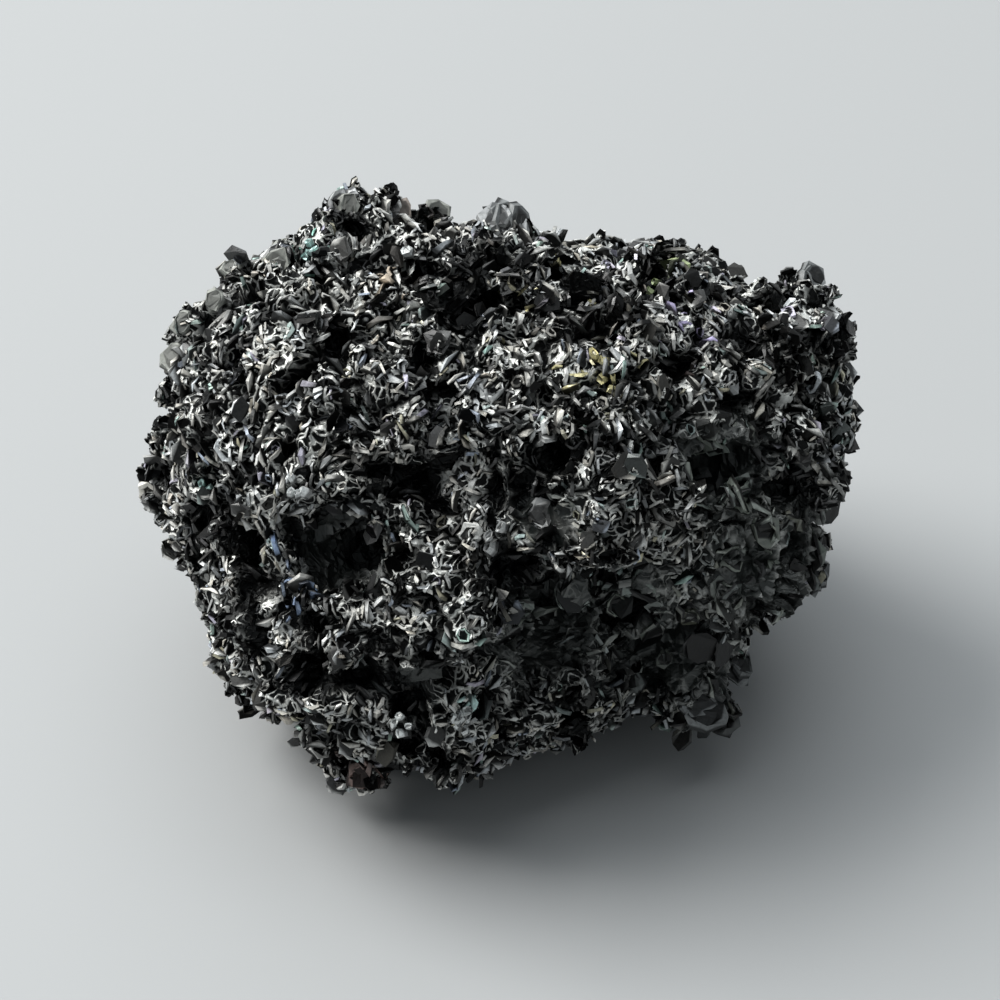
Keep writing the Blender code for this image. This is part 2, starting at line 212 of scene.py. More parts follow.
class Paint:
    """A material's node tree while it is put together."""

    def __init__(self, name: str) -> None:
        """Starts a material.

        Args:
            name: The material's name.
        """
        self.material = bpy.data.materials.new(name)
        self.material.use_nodes = True
        self.tree = self.material.node_tree
        self.shader = self.tree.nodes["Principled BSDF"]

    def node(self, kind: str, settings: dict, sockets: dict) -> bpy.types.Node:
        """Adds a node.

        Args:
            kind: The node's type.
            settings: Its settings by name, with "stops" for a ramp's positions and colours.
            sockets: The value or link of each of its inputs, by name or number.

        Returns:
            The node.
        """
        made = self.tree.nodes.new(kind)
        for name, value in settings.items():
            if name == "stops":
                self._set_stops(made.color_ramp.elements, value)
            else:
                setattr(made, name, value)
        for name, value in sockets.items():
            self.feed(made.inputs[name], value)
        return made

    @staticmethod
    def _set_stops(elements: bpy.types.ColorRampElements, stops: list) -> None:
        """Gives a ramp its stops.

        Args:
            elements: The ramp's elements.
            stops: Positions with their colours.
        """
        while len(elements) < len(stops):
            elements.new(1.0)
        for element, (position, colour) in zip(elements, stops):
            element.position = position
            element.color = (*colour, 1.0)

    def feed(self, socket: bpy.types.NodeSocket, value: "Shade | float | Colour") -> None:
        """Links or sets an input.

        Args:
            socket: The input.
            value: A shade to link, or a plain value.
        """
        if isinstance(value, Shade):
            self.tree.links.new(value.socket, socket)
        elif isinstance(value, tuple) and socket.type == "RGBA":
            socket.default_value = (*value, 1.0)
        else:
            socket.default_value = value

    def places(self) -> Shade:
        """Object coordinates."""
        return Shade(self, self.node("ShaderNodeTexCoord", {}, {}).outputs["Object"])

    def attribute(self, name: str, output: str) -> Shade:
        """A value or colour that the mesh carries.

        Args:
            name: The attribute's name.
            output: Which of the node's outputs is wanted.

        Returns:
            The output.
        """
        return Shade(self, self.node("ShaderNodeAttribute", {"attribute_name": name}, {}).outputs[output])

    def mottle(self, size: float, detail: float = 2.0, rough: float = 0.6) -> Shade:
        """Noise between 0 and 1.

        Args:
            size: Millimetres from one blotch to the next.
            detail: How many finer layers it has.
            rough: How strong they are.

        Returns:
            The noise's value.
        """
        sockets = {"Vector": self.places(), "Scale": 1 / (size * MM), "Detail": detail, "Roughness": rough}
        return Shade(self, self.node("ShaderNodeTexNoise", {}, sockets).outputs["Fac"])

    def wandering(self, size: float, stray: float) -> Shade:
        """Object coordinates that wander, so that what is drawn with them is crooked.

        Args:
            size: Millimetres from one bend to the next.
            stray: Millimetres that they wander.

        Returns:
            The coordinates.
        """
        sockets = {"Vector": self.places(), "Scale": 1 / (size * MM), "Detail": 1.0}
        wander = Shade(self, self.node("ShaderNodeTexNoise", {}, sockets).outputs["Color"])
        sockets = {0: wander, 1: (stray * MM,) * 3, 2: self.places()}
        moved = self.node("ShaderNodeVectorMath", {"operation": "MULTIPLY_ADD"}, sockets)
        return Shade(self, moved.outputs["Vector"])

    def walls(self, size: float, stray: float) -> Shade:
        """The distance from the nearest wall of a net of crooked cells, 0 on it.

        Args:
            size: Millimetres from one cell to the next.
            stray: Millimetres that the walls wander.

        Returns:
            The distance, in cells.
        """
        sockets = {"Vector": self.wandering(size * 0.6, stray), "Scale": 1 / (size * MM)}
        cells = self.node("ShaderNodeTexVoronoi", {"feature": "DISTANCE_TO_EDGE"}, sockets)
        return Shade(self, cells.outputs["Distance"])

    def curls(self, size: float, stray: float) -> Shade:
        """The distance from the nearest of many curling lines, 0 on it.

        Args:
            size: Millimetres from one curl to the next.
            stray: Millimetres that the curls wander.

        Returns:
            The distance, as a share of the way to the next.
        """
        sockets = {"Vector": self.wandering(size * 0.4, stray), "Scale": 1 / (size * MM), "Detail": 0.0}
        waves = Shade(self, self.node("ShaderNodeTexNoise", {}, sockets).outputs["Fac"])
        return (waves * 12.0).folded()

    def line(self, distance: Shade, full: float, none: float) -> Shade:
        """1 close by and 0 farther away, smoothly.

        Args:
            distance: A distance.
            full: Where it is still 1.
            none: Where it is 0.

        Returns:
            The value.
        """
        settings = {"interpolation_type": "SMOOTHSTEP"}
        sockets = {"Value": distance, "From Min": full, "From Max": none, "To Min": 1.0, "To Max": 0.0}
        return Shade(self, self.node("ShaderNodeMapRange", settings, sockets).outputs["Result"])

    def ramp(self, value: Shade, stops: list) -> Shade:
        """A colour ramp.

        Args:
            value: What it reads.
            stops: Its positions and colours.

        Returns:
            The colour.
        """
        return Shade(self, self.node("ShaderNodeValToRGB", {"stops": stops}, {"Fac": value}).outputs["Color"])

    def mixed(self, share: "Shade | float", first: "Shade | Colour", second: "Shade | Colour",
              blend: str = "MIX") -> Shade:
        """Two colours mixed.

        Args:
            share: How much of the second.
            first: The first colour.
            second: The second colour.
            blend: The way they mix.

        Returns:
            The mixed colour.
        """
        settings = {"data_type": "RGBA", "blend_type": blend}
        made = self.node("ShaderNodeMix", settings, {0: share, 6: first, 7: second})
        return Shade(self, made.outputs[2])

    def bump(self, height: Shade, depth: float, strength: float) -> Shade:
        """A normal from a height.

        Args:
            height: The height, from 0 to 1.
            depth: Millimetres that 1 stands for.
            strength: How much of it shows.

        Returns:
            The normal.
        """
        sockets = {"Height": height, "Distance": depth * MM, "Strength": strength}
        return Shade(self, self.node("ShaderNodeBump", {}, sockets).outputs["Normal"])

    def dress(self, **sockets: "Shade | float | Colour") -> bpy.types.Material:
        """Feeds the shader and gives the finished material.

        Args:
            **sockets: The shader's inputs, with _ for a space.

        Returns:
            The material.
        """
        for name, value in sockets.items():
            self.feed(self.shader.inputs[name.replace("_", " ")], value)
        return self.material


@dataclass(frozen=True)
class CarbideFinish:
    """Crystal faces: dark with a metal-like shine, tarnished in colours, with bright crests that are a painted
    highlight over hearts darkened as painted shade.

    Attributes:
        name: The material's name.
        shine: Metallic share of the crests.
        core: Metallic share of the hearts.
        index: Refractive index.
        smooth: Roughness of the smoothest faces.
        rough: Roughness that is added on the dullest ones.
        heart: Brightness away from the crests, against the crests: painted shade in hearts, undersides and roots.
        grain: Millimetres between the fine growth marks.
        relief: Millimetres that the marks are deep.
    """

    name: str
    shine: float = 0.2
    core: float = 0.95
    index: float = 1.8
    smooth: float = 0.26
    rough: float = 0.3
    heart: float = 0.02
    grain: float = 0.12
    relief: float = 0.03

    def material(self) -> bpy.types.Material:
        """The material of these faces."""
        paint = Paint(self.name)
        tarnish_and_shade = paint.attribute("tarnish_and_shade", "Color")
        rim = paint.attribute("rim", "Fac")
        dull = paint.attribute("dull", "Fac")
        marks = paint.mottle(self.grain, 3.0, 0.65)
        clouds = paint.mottle(self.grain * 7)
        # Painted highlight on the crests and painted shade in the hearts, from the rim value with patchy noise.
        patchy_crest = rim + (clouds - 0.5) * 0.4
        crest = paint.ramp(patchy_crest, [(0.28, (self.heart,) * 3), (0.5, (1.0, 1.0, 1.0))])
        speckle = paint.ramp(marks, [(0.3, (0.6, 0.6, 0.6)), (0.6, (1.0, 1.0, 1.0))])
        colour = paint.mixed(1.0, paint.mixed(1.0, tarnish_and_shade, crest, "MULTIPLY"), speckle, "MULTIPLY")
        return paint.dress(
            Base_Color=colour,
            Metallic=self.core - crest * (self.core - self.shine),
            IOR=self.index,
            Roughness=self.smooth + dull * self.rough + clouds * 0.1,
            Normal=paint.bump(marks, self.relief, 0.7),
        )


@dataclass(frozen=True)
class CrustFinish:
    """The ground mass: near black, with grey crests that are a painted highlight; in pits and gaps the crests fade
    out, a painted shade.

    Attributes:
        name: The material's name.
        dark_tone_and_shade: Colour of its grooves and pits: its own near-black tone, and painted shade there.
        glaze: Colour of its smooth places.
        crest: Colour of its crests, a painted highlight.
        cell: Millimetres across the finest marks.
    """

    name: str = "crust"
    dark_tone_and_shade: Colour = (0.004, 0.0045, 0.0045)
    glaze: Colour = (0.016, 0.020, 0.018)
    crest: Colour = (0.78, 0.79, 0.75)
    cell: float = 0.3

    def material(self) -> bpy.types.Material:
        """The material of the crust."""
        paint = Paint(self.name)
        high = paint.attribute("high", "Fac")
        rim = paint.attribute("rim", "Fac")
        marks = paint.mottle(self.cell, 3.0, 0.7)
        clouds = paint.mottle(1.6)
        smooth = paint.attribute("smooth", "Fac")
        cells = paint.line(paint.walls(0.95, 0.6), 0.035, 0.11)
        curls = paint.line(paint.curls(0.9, 0.25), 0.12, 0.34)
        net = cells.highest(curls) * (1 - smooth)
        # Painted highlight: bright crest lines; multiplied by high they fade to black in pits and gaps between
        # clumps, a painted shade.
        crest = (net * (0.35 + marks)).highest(paint.line(rim, 0.9, 0.35) * smooth * 0.4) * high
        colour = paint.mixed(crest, paint.mixed(smooth, self.dark_tone_and_shade, self.glaze), self.crest)
        return paint.dress(
            Base_Color=colour,
            Metallic=(0.9 - crest * 0.7) * (1 - smooth * 0.5),
            IOR=1.8,
            Roughness=0.3 + clouds * 0.3,
            Normal=paint.bump(net + marks * 0.3, 0.12, 1.0),
        )


@dataclass(frozen=True)
class FloorFinish:
    """A pale matt floor."""

    name: str = "floor"
    pale: Colour = (0.330, 0.338, 0.340)

    def material(self) -> bpy.types.Material:
        """The material of the floor."""
        return Paint(self.name).dress(Base_Color=self.pale, Roughness=0.75)


class Habit(Enum):
    """The shapes that a crystal grows in."""

    HOPPER = "plate with a sunken or stepped face, lying or leaning"
    BLADE = "plate that stands on edge as a short wall, bright along its crest"
    GRAIN = "stubby broken crystal"


@dataclass(frozen=True)
class GrowthStep:
    """One step in a crystal's outer face.

    Attributes:
        border: How far in it starts, as a share of the radius.
        drop: How far it goes down, as a share of the thickness.
        bright: How bright its lower edge is.
    """

    border: float
    drop: float
    bright: float


SUNKEN = (GrowthStep(0.36, 0.6, 0.0),)
DISHED = (GrowthStep(0.34, 0.2, 0.2),)
EDGED = (GrowthStep(0.12, 0.0, 0.3), GrowthStep(0.3, 0.0, 0.1))
STEPPED = (
    GrowthStep(0.16, 0.0, 0.8),
    GrowthStep(0.05, 0.3, 0.1),
    GrowthStep(0.28, -0.05, 0.35),
    GrowthStep(0.05, 0.25, 0.1),
)


@dataclass(frozen=True)
class CrystalForm:
    """A crystal's shape at radius 1 and thickness 1: broad faces across Z, length along X, crest along Y.

    Attributes:
        habit: Which shape it is.
        sides: How many sides it has.
        taper: Its outer face against its inner one.
        steps: The steps in its outer face.
        crest: How far the bright crest reaches down a blade, from 0 to 1.
    """

    habit: Habit
    sides: int = 6
    taper: float = 0.9
    steps: tuple[GrowthStep, ...] = ()
    crest: float = 0.3

    def shaped(self) -> bmesh.types.BMesh:
        """The crystal as a bmesh, with its painted brightness in the layer called rim: a painted highlight on its
        crest and outer face, painted shade toward its root, underside and sunken heart.

        Returns:
            The bmesh, which the caller frees.
        """
        bm = bmesh.new()
        rim = bm.verts.layers.float.new("rim")
        bmesh.ops.create_cone(bm, cap_ends=True, segments=self.sides, radius1=1, radius2=self.taper, depth=1)
        for vert in bm.verts:
            vert[rim] = self._brightness(vert.co)
        outer = [face for face in bm.faces if face.normal.z > 0.9]
        for step in self.steps:
            bmesh.ops.inset_region(bm, faces=outer, thickness=step.border)
            for vert in outer[0].verts:
                vert[rim] = step.bright
                vert.co.z -= step.drop
        return bm

    def _brightness(self, corner: Vector) -> float:
        """How bright the crystal is painted at a corner: a painted highlight at the crest and outer face, painted
        shade at the root, underside and sunken heart.

        Args:
            corner: The corner.

        Returns:
            From 0 at the root to 1 at a crest.
        """
        if self.habit is Habit.BLADE:
            return self.crest + 0.75 * corner.y
        if self.habit is Habit.HOPPER:
            return 1.0 if corner.z > 0 else 0.0
        return 1.0 if corner.z > 0 else 0.1

    def arrays(self) -> tuple[np.ndarray, np.ndarray, list[list[int]]]:
        """The shape as arrays.

        Returns:
            Its corners, their brightness, and its faces as lists of corners.
        """
        bm = self.shaped()
        rim = bm.verts.layers.float["rim"]
        corners = np.array([vert.co[:] for vert in bm.verts])
        bright = np.array([vert[rim] for vert in bm.verts])
        faces = [[vert.index for vert in face.verts] for face in bm.faces]
        bm.free()
        return corners, bright, faces


@dataclass
class Growth:
    """Crystals of one piece before they are made: one row of each array for each crystal.

    Attributes:
        middles: Where their middles are.
        tips: The way that each one's tip points.
        looks: The way that each one's broad face points.
        sizes: Half length, half width and thickness.
        colours: Their tarnish, and for the coats painted shade in pits and on the smooth places.
        dull: How dull each is, from 0 to 1.
        bends: How far each is bent along its length, as a share of it.
    """

    middles: np.ndarray
    tips: np.ndarray
    looks: np.ndarray
    sizes: np.ndarray
    colours: np.ndarray
    dull: np.ndarray
    bends: np.ndarray

    def raised(self, corners: np.ndarray, level: float) -> np.ndarray:
        """Lifts the crystals that would reach below a level.

        Args:
            corners: All corners, by crystal.
            level: The lowest that a corner may be.

        Returns:
            The corners.
        """
        lift = np.maximum(0, level - corners[:, :, 2].min(axis=1))
        corners[:, :, 2] += lift[:, None]
        return corners

    def corners(self, shape: np.ndarray, uneven: float, chance: np.random.Generator) -> np.ndarray:
        """All corners of all crystals.

        Args:
            shape: The corners of one crystal at radius 1.
            uneven: How far a corner strays, as a share of the half width.
            chance: The source of randomness.

        Returns:
            An array of crystals by corners by 3.
        """
        sides = np.cross(self.looks, self.tips)
        axes = np.stack([self.tips, sides, self.looks], axis=2)
        local = shape[None] * self.sizes[:, None, :]
        local[:, :, 2] += (self.bends * self.sizes[:, 0])[:, None] * shape[None, :, 0] ** 2
        stray = chance.normal(0, uneven, local.shape) * self.sizes[:, 1, None, None]
        local = local + stray * np.array([1.0, 1.0, 0.4])
        return np.einsum("nij,nkj->nki", axes, local) + self.middles[:, None, :]

    def build(self, name: str, form: CrystalForm, uneven: float, lowest: float,
              chance: np.random.Generator) -> bpy.types.Object:
        """Makes the piece: one joined mesh of every crystal.

        Args:
            name: The piece's name.
            form: The shape that its crystals share.
            uneven: How far a corner strays, as a share of the half width.
            lowest: The lowest that a corner may be.
            chance: The source of randomness.

        Returns:
            The piece.
        """
        shape, bright, faces = form.arrays()
        corners = self.raised(self.corners(shape, uneven, chance), lowest)
        count = len(corners)
        loops = np.concatenate([np.array(face) for face in faces])
        totals = np.array([len(face) for face in faces])
        steps = np.arange(count)[:, None] * len(shape)
        mesh = bpy.data.meshes.new(name)
        mesh.vertices.add(count * len(shape))
        mesh.vertices.foreach_set("co", corners.astype(np.float32).ravel())
        mesh.loops.add(count * len(loops))
        mesh.loops.foreach_set("vertex_index", (loops[None] + steps).astype(np.int32).ravel())
        all_totals = np.tile(totals, count)
        mesh.polygons.add(len(all_totals))
        starts = np.concatenate([[0], np.cumsum(all_totals)[:-1]])
        mesh.polygons.foreach_set("loop_start", starts.astype(np.int32))
        mesh.update(calc_edges=True)
        mesh.shade_flat()
        # rim carries a painted highlight on crests and outer faces and painted shade toward roots and hearts.
        self._carry(mesh, "rim", "FLOAT", np.tile(bright, count))
        self._carry(mesh, "dull", "FLOAT", np.repeat(self.dull, len(shape)))
        opaque = np.concatenate([self.colours, np.ones((count, 1))], axis=1)
        self._carry(mesh, "tarnish_and_shade", "FLOAT_COLOR", np.repeat(opaque, len(shape), axis=0))
        piece = bpy.data.objects.new(name, mesh)
        bpy.context.scene.collection.objects.link(piece)
        return piece

    @staticmethod
    def _carry(mesh: bpy.types.Mesh, name: str, kind: str, values: np.ndarray) -> None:
        """Gives a mesh an attribute on its corners.

        Args:
            mesh: The mesh.
            name: The attribute's name.
            kind: Its data type.
            values: One row for each vertex.
        """
        made = mesh.attributes.new(name, kind, "POINT")
        key = "color" if kind == "FLOAT_COLOR" else "value"
        made.data.foreach_set(key, values.astype(np.float32).ravel())


def unit(vectors: np.ndarray) -> np.ndarray:
    """Vectors at length 1.

    Args:
        vectors: Rows of vectors.

    Returns:
        The same directions.
    """
    return vectors / np.maximum(1e-12, np.linalg.norm(vectors, axis=1, keepdims=True))


@dataclass(frozen=True)
class TarnishPatch:
    """A place where many crystals have the same thin-film colour.

    Attributes:
        across: Millimetres to the right of the view's middle.
        up: Millimetres above it.
        spread: Millimetres that it reaches.
        share: The share of crystals that have it.
        colour: The colour.
    """

    across: float
    up: float
    spread: float
    share: float
    colour: Colour


TEAL = (0.30, 0.62, 0.52)
PALE_TEAL = (0.55, 0.78, 0.74)
GOLD = (0.72, 0.66, 0.36)
LIME = (0.60, 0.70, 0.38)
SAND = (0.64, 0.54, 0.42)
ROSE = (0.62, 0.46, 0.42)
VIOLET = (0.45, 0.40, 0.62)
BLUE = (0.34, 0.46, 0.68)
RUST = (0.20, 0.13, 0.11)


@dataclass
class TarnishAndShade:
    """The colours of all crystals: greys of many depths, thin-film colours in patches, and darker crystals on the
    smooth places, partly painted shade.

    Attributes:
        patches: The patches, by name.
        dark_tone_and_shade: Colour that the smooth side's crystals are darkened by: painted shade, above all in
            the hollow on the view's lower right, which faces away from the key light, and a darker tone on the
            other smooth places.
        stray: The share of crystals anywhere that have a thin-film colour.
        darkest: Grey of the darkest crystals.
        brightest: Grey of the brightest.
    """

    patches: dict[str, TarnishPatch] = field(default_factory=lambda: {
        "upper_left_teal": TarnishPatch(-8.1, 11.1, 1.5, 0.45, TEAL),
        "shoulder_teal": TarnishPatch(-10.2, 10.6, 1.2, 0.3, TEAL),
        "peak_rose": TarnishPatch(-3.9, 12.6, 1.1, 0.5, ROSE),
        "top_sand": TarnishPatch(-4.3, 10.3, 1.2, 0.45, SAND),
        "top_gold": TarnishPatch(2.6, 9.4, 1.6, 0.4, GOLD),
        "top_lime": TarnishPatch(6.4, 9.6, 1.3, 0.35, LIME),
        "middle_gold": TarnishPatch(4.3, 5.8, 1.3, 0.55, GOLD),
        "ridge_violet": TarnishPatch(8.1, 8.0, 1.0, 0.5, VIOLET),
        "ridge_rose": TarnishPatch(7.9, 6.3, 0.9, 0.4, ROSE),
        "left_lime": TarnishPatch(-12.2, 1.3, 1.2, 0.4, PALE_TEAL),
        "lower_left_blue": TarnishPatch(-8.6, -3.4, 1.3, 0.4, BLUE),
        "front_teal": TarnishPatch(-1.7, -8.7, 0.9, 0.4, PALE_TEAL),
        "foot_rust": TarnishPatch(-5.6, -11.3, 1.2, 0.6, RUST),
        "lower_right_green": TarnishPatch(10.0, -7.0, 2.2, 0.3, (0.16, 0.24, 0.20)),
    })
    dark_tone_and_shade: Colour = (0.30, 0.35, 0.32)
    stray: float = 0.14
    darkest: float = 0.32
    brightest: float = 0.86

    def colours(self, seats: "Seats", crust: bpy.types.Object, films: float,
                chance: np.random.Generator) -> np.ndarray:
        """A colour for each crystal.

        Args:
            seats: Where the crystals grow.
            crust: What they grow on.
            films: How much of the thin-film colours these crystals take, from 0 to 1.
            chance: The source of randomness.

        Returns:
            Rows of colours.
        """
        count = len(seats.places)
        depth = chance.beta(1.8, 2.0, count)[:, None]
        grey = self.darkest * (self.brightest / self.darkest) ** depth
        warmth = chance.normal(0, 0.035, (count, 1))
        colours = grey * (np.array([[1.0, 1.0, 0.95]]) + warmth * np.array([[1.0, 0.2, -1.0]]))
        kinds = np.array([TEAL, GOLD, VIOLET, BLUE, SAND, PALE_TEAL])
        strays = chance.random(count) < self.stray * films
        chosen = kinds[chance.integers(0, len(kinds), count)]
        colours[strays] = colours[strays] * 0.45 + chosen[strays] * 0.45 * (0.4 + depth[strays])
        for patch in self.patches.values():
            place, _ = VIEW.seen_on(crust, patch.across, patch.up)
            away = np.linalg.norm(seats.places - np.array(place), axis=1) / (patch.spread * MM)
            tinted = chance.random(count) < patch.share * films * np.exp(-(away**2))
            strength = 0.45 + 0.75 * depth[tinted]
            colours[tinted] = np.array([patch.colour]) * strength
        # Painted shade, above all in the hollow on the view's lower right that faces away from the key light; a
        # darker tone on the other smooth places.
        colours *= 1 - seats.smooth[:, None] * (1 - np.array([self.dark_tone_and_shade]))
        return np.clip(colours, 0.01, 0.95)


@dataclass
class Crust:
    """The ground mass: the solid's own form, broken into clumps, with a net of fine crests all over.

    Attributes:
        voxel: Millimetres between its corners.
        back: Millimetres that its highest places lie inside the solid.
        clump_spacing: Millimetres from one clump to the next.
        clump_depth: Millimetres that the gaps between clumps are deep.
        net_spacing: Millimetres across a cell of the wide net of crests.
        net_depth: Millimetres that its cells are deep.
        fine_spacing: Millimetres across a cell of the fine net.
        fine_depth: Millimetres that its cells are deep.
        pit_spacing: Millimetres between pits.
        pit_depth: Millimetres that they are deep.
        lowest: Millimetres that it stays off the ground.
        smooth_places: Across, up and reach, in millimetres of the view, of the places with broad plates.
        far_places: The same on the sides that the view doesn't show: a spot near each, and its reach.
        cuts: Where it is cut across, in millimetres along X, so that no piece is too large.
    """

    voxel: float = 0.16
    back: float = 0.1
    clump_spacing: float = 2.4
    clump_depth: float = 0.5
    net_spacing: float = 1.05
    net_depth: float = 0.18
    fine_spacing: float = 0.52
    fine_depth: float = 0.12
    pit_spacing: float = 1.9
    pit_depth: float = 0.95
    lowest: float = 0.12
    smooth_places: tuple[Triple, ...] = (
        (1.5, -5.0, 2.6), (4.5, -4.0, 3.2), (7.5, -6.0, 3.0), (9.8, -7.8, 2.6), (9.5, 1.6, 2.6),
        (11.5, -2.5, 3.0), (14.0, -1.5, 2.6), (1.9, -0.5, 1.2), (-6.5, -1.2, 1.8), (-3.2, -7.6, 1.2),
    )
    far_places: tuple[tuple[Triple, float], ...] = (
        ((6.0, 12.0, 6.0), 3.0), ((-7.0, 12.0, 8.0), 3.0), ((1.0, 13.0, 13.0), 2.0), ((-13.0, 6.0, 7.0), 2.4),
        ((13.0, 7.0, 12.0), 2.4), ((-14.0, -3.0, 6.0), 2.0), ((14.0, 2.0, 5.0), 2.6), ((2.0, 9.0, 2.5), 3.0),
    )
    cuts: tuple[float, ...] = (-4.5, 4.0)

    def build(self) -> bpy.types.Object:
        """Makes the whole crust.

        Returns:
            The crust in one, which pieces cuts up.
        """
        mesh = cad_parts[NODE].data.copy()
        mesh.materials.clear()
        self._merge(mesh)
        crust = bpy.data.objects.new("crust", mesh)
        bpy.context.scene.collection.objects.link(crust)
        remesh = crust.modifiers.new("remesh", "REMESH")
        remesh.mode = "VOXEL"
        remesh.voxel_size = self.voxel * MM
        bpy.context.view_layer.update()
        graph = bpy.context.evaluated_depsgraph_get()
        crust.data = bpy.data.meshes.new_from_object(crust.evaluated_get(graph))
        crust.modifiers.clear()
        bpy.context.view_layer.update()
        self._mark_smooth(crust)
        self._weather(crust.data)
        crust.data.shade_flat()
        crust.data.materials.clear()
        crust.data.materials.append(CrustFinish().material())
        bpy.context.view_layer.update()
        return crust

    def pieces(self, crust: bpy.types.Object) -> list[bpy.types.Object]:
        """Cuts the crust across and closes each piece at its cuts.

        Args:
            crust: The whole crust, which is removed.

        Returns:
            The pieces.
        """
        edges = [-1000.0, *self.cuts, 1000.0]
        made = []
        for index, (low, high) in enumerate(zip(edges[:-1], edges[1:])):
            bm = bmesh.new()
            bm.from_mesh(crust.data)
            for place, side in ((low, -1), (high, 1)):
                everything = [*bm.verts, *bm.edges, *bm.faces]
                cut = bmesh.ops.bisect_plane(bm, geom=everything, dist=0, plane_co=(place * MM, 0, 0),
                                             plane_no=(side, 0, 0), clear_outer=True)
                rim = [item for item in cut["geom_cut"] if isinstance(item, bmesh.types.BMEdge)]
                bmesh.ops.holes_fill(bm, edges=rim)
            mesh = bpy.data.meshes.new(f"crust_{index + 1}")
            bmesh.ops.triangulate(bm, faces=bm.faces)
            bm.to_mesh(mesh)
            bm.free()
            mesh.shade_flat()
            mesh.materials.append(crust.data.materials[0])
            piece = bpy.data.objects.new(f"crust_{index + 1}", mesh)
            bpy.context.scene.collection.objects.link(piece)
            made.append(piece)
        bpy.data.objects.remove(crust)
        return made

    def _mark_smooth(self, crust: bpy.types.Object) -> None:
        """Keeps on the mesh how smooth each place is, from 0 to 1.

        Args:
            crust: The crust.
        """
        spots = np.empty(len(crust.data.vertices) * 3, np.float32)
        crust.data.vertices.foreach_get("co", spots)
        spots = spots.reshape(-1, 3)
        smooth = np.zeros(len(spots))
        places = [(VIEW.seen_on(crust, across, up)[0], reach) for across, up, reach in self.smooth_places]
        for spot, reach in self.far_places:
            _, place, _, _ = crust.closest_point_on_mesh(Vector(spot) * MM)
            places.append((place, reach))
        for place, reach in places:
            away = np.linalg.norm(spots - np.array(place), axis=1) / (reach * MM)
            smooth = np.maximum(smooth, np.exp(-(away**4)))
        made = crust.data.attributes.new("smooth", "FLOAT", "POINT")
        made.data.foreach_set("value", smooth.astype(np.float32))

    @staticmethod
    def _merge(mesh: bpy.types.Mesh) -> None:
        """Joins the solid's loose triangles.

        Args:
            mesh: The copy of the solid's mesh.
        """
        bm = bmesh.new()
        bm.from_mesh(mesh)
        bmesh.ops.remove_doubles(bm, verts=bm.verts, dist=0.001 * MM)
        bm.to_mesh(mesh)
        bm.free()

    def _weather(self, mesh: bpy.types.Mesh) -> None:
        """Shapes clumps, crests and pits, and keeps how high each place is, by which the materials darken pits and
        gaps as painted shade, and how bright its crest is painted, a painted highlight.

        Args:
            mesh: The crust's mesh.
        """
        bm = bmesh.new()
        bm.from_mesh(mesh)
        high = bm.verts.layers.float.new("high")
        rim = bm.verts.layers.float.new("rim")
        smooth = bm.verts.layers.float["smooth"]
        for _ in range(6):
            bmesh.ops.smooth_vert(bm, verts=bm.verts, factor=0.5, use_axis_x=True, use_axis_y=True,
                                  use_axis_z=True)
        bm.normal_update()
        for vert in bm.verts:
            depth, vert[high], vert[rim] = self._weathered(vert.co, vert[smooth])
            vert.co -= vert.normal * (self.back + depth) * MM
            vert.co.z = max(vert.co.z, self.lowest * MM)
        bm.to_mesh(mesh)
        bm.free()

    def _weathered(self, place: Vector, smooth: float) -> Triple:
        """How deep the crust lies under its highest places, how open it is there, and how bright its crest is
        painted, a painted highlight.

        Args:
            place: A place on the solid.
            smooth: How smooth it is there, from 0 to 1.

        Returns:
            The depth in millimetres, from 0 in a pit to 1 on a clump, and from 0 to 1 on a crest.
        """
        stray = noise.noise_vector(place / (1.2 * MM)) * 0.45 * MM
        curl = stray + noise.noise_vector(place / (0.5 * MM)) * 0.22 * MM
        hollow = noise.noise(place / (self.pit_spacing * MM) + Vector((SEED, 0, 0)))
        pit = min(1.0, max(0.0, hollow * 3.4 - 0.35))
        clump = self._wall_distance(place + stray, self.clump_spacing)
        gap = (1 - min(1.0, max(0.0, clump) / 0.2)) ** 1.5
        net = min(1.0, max(0.0, self._wall_distance(place + curl, self.net_spacing)) / 0.13)
        fine = min(1.0, max(0.0, self._wall_distance(place + curl * 1.3, self.fine_spacing)) / 0.2)
        patchy_crest = noise.noise(place / (0.8 * MM) + Vector((0, SEED, 0)))
        fine_crest = (1 - fine) * min(1.0, max(0.0, 0.7 + patchy_crest * 2))
        crest = max(1 - net, fine_crest)
        depth = pit * self.pit_depth + gap * self.clump_depth
        depth += net * self.net_depth * (1 + smooth) + (1 - fine_crest) * self.fine_depth * (1 - smooth)
        # high is 0 deep in pits and gaps; the materials darken by it, a painted shade. The crest value is a
        # painted highlight.
        high = max(0.0, 1 - pit * 1.3 - gap * 1.1)
        return depth, high, crest * (0.65 + patchy_crest)

    @staticmethod
    def _wall_distance(place: Vector, spacing: float) -> float:
        """How far a place is from the nearest wall between cells.

        Args:
            place: The place.
            spacing: Millimetres from one cell to the next.

        Returns:
            The distance, in cells.
        """
        spot = place / (spacing * MM)
        _, middles = noise.voronoi(spot, distance_metric="DISTANCE", exponent=2.5)
        first, second = middles[0], middles[1]
        apart = max(1e-6, (second - first).length)
        return ((spot - second).length_squared - (spot - first).length_squared) / (2 * apart)


class Ground(Enum):
    """Which places of the crust a coat keeps to."""

    ROUGH = "mostly the rough places"
    SMOOTH = "mostly the smooth places"


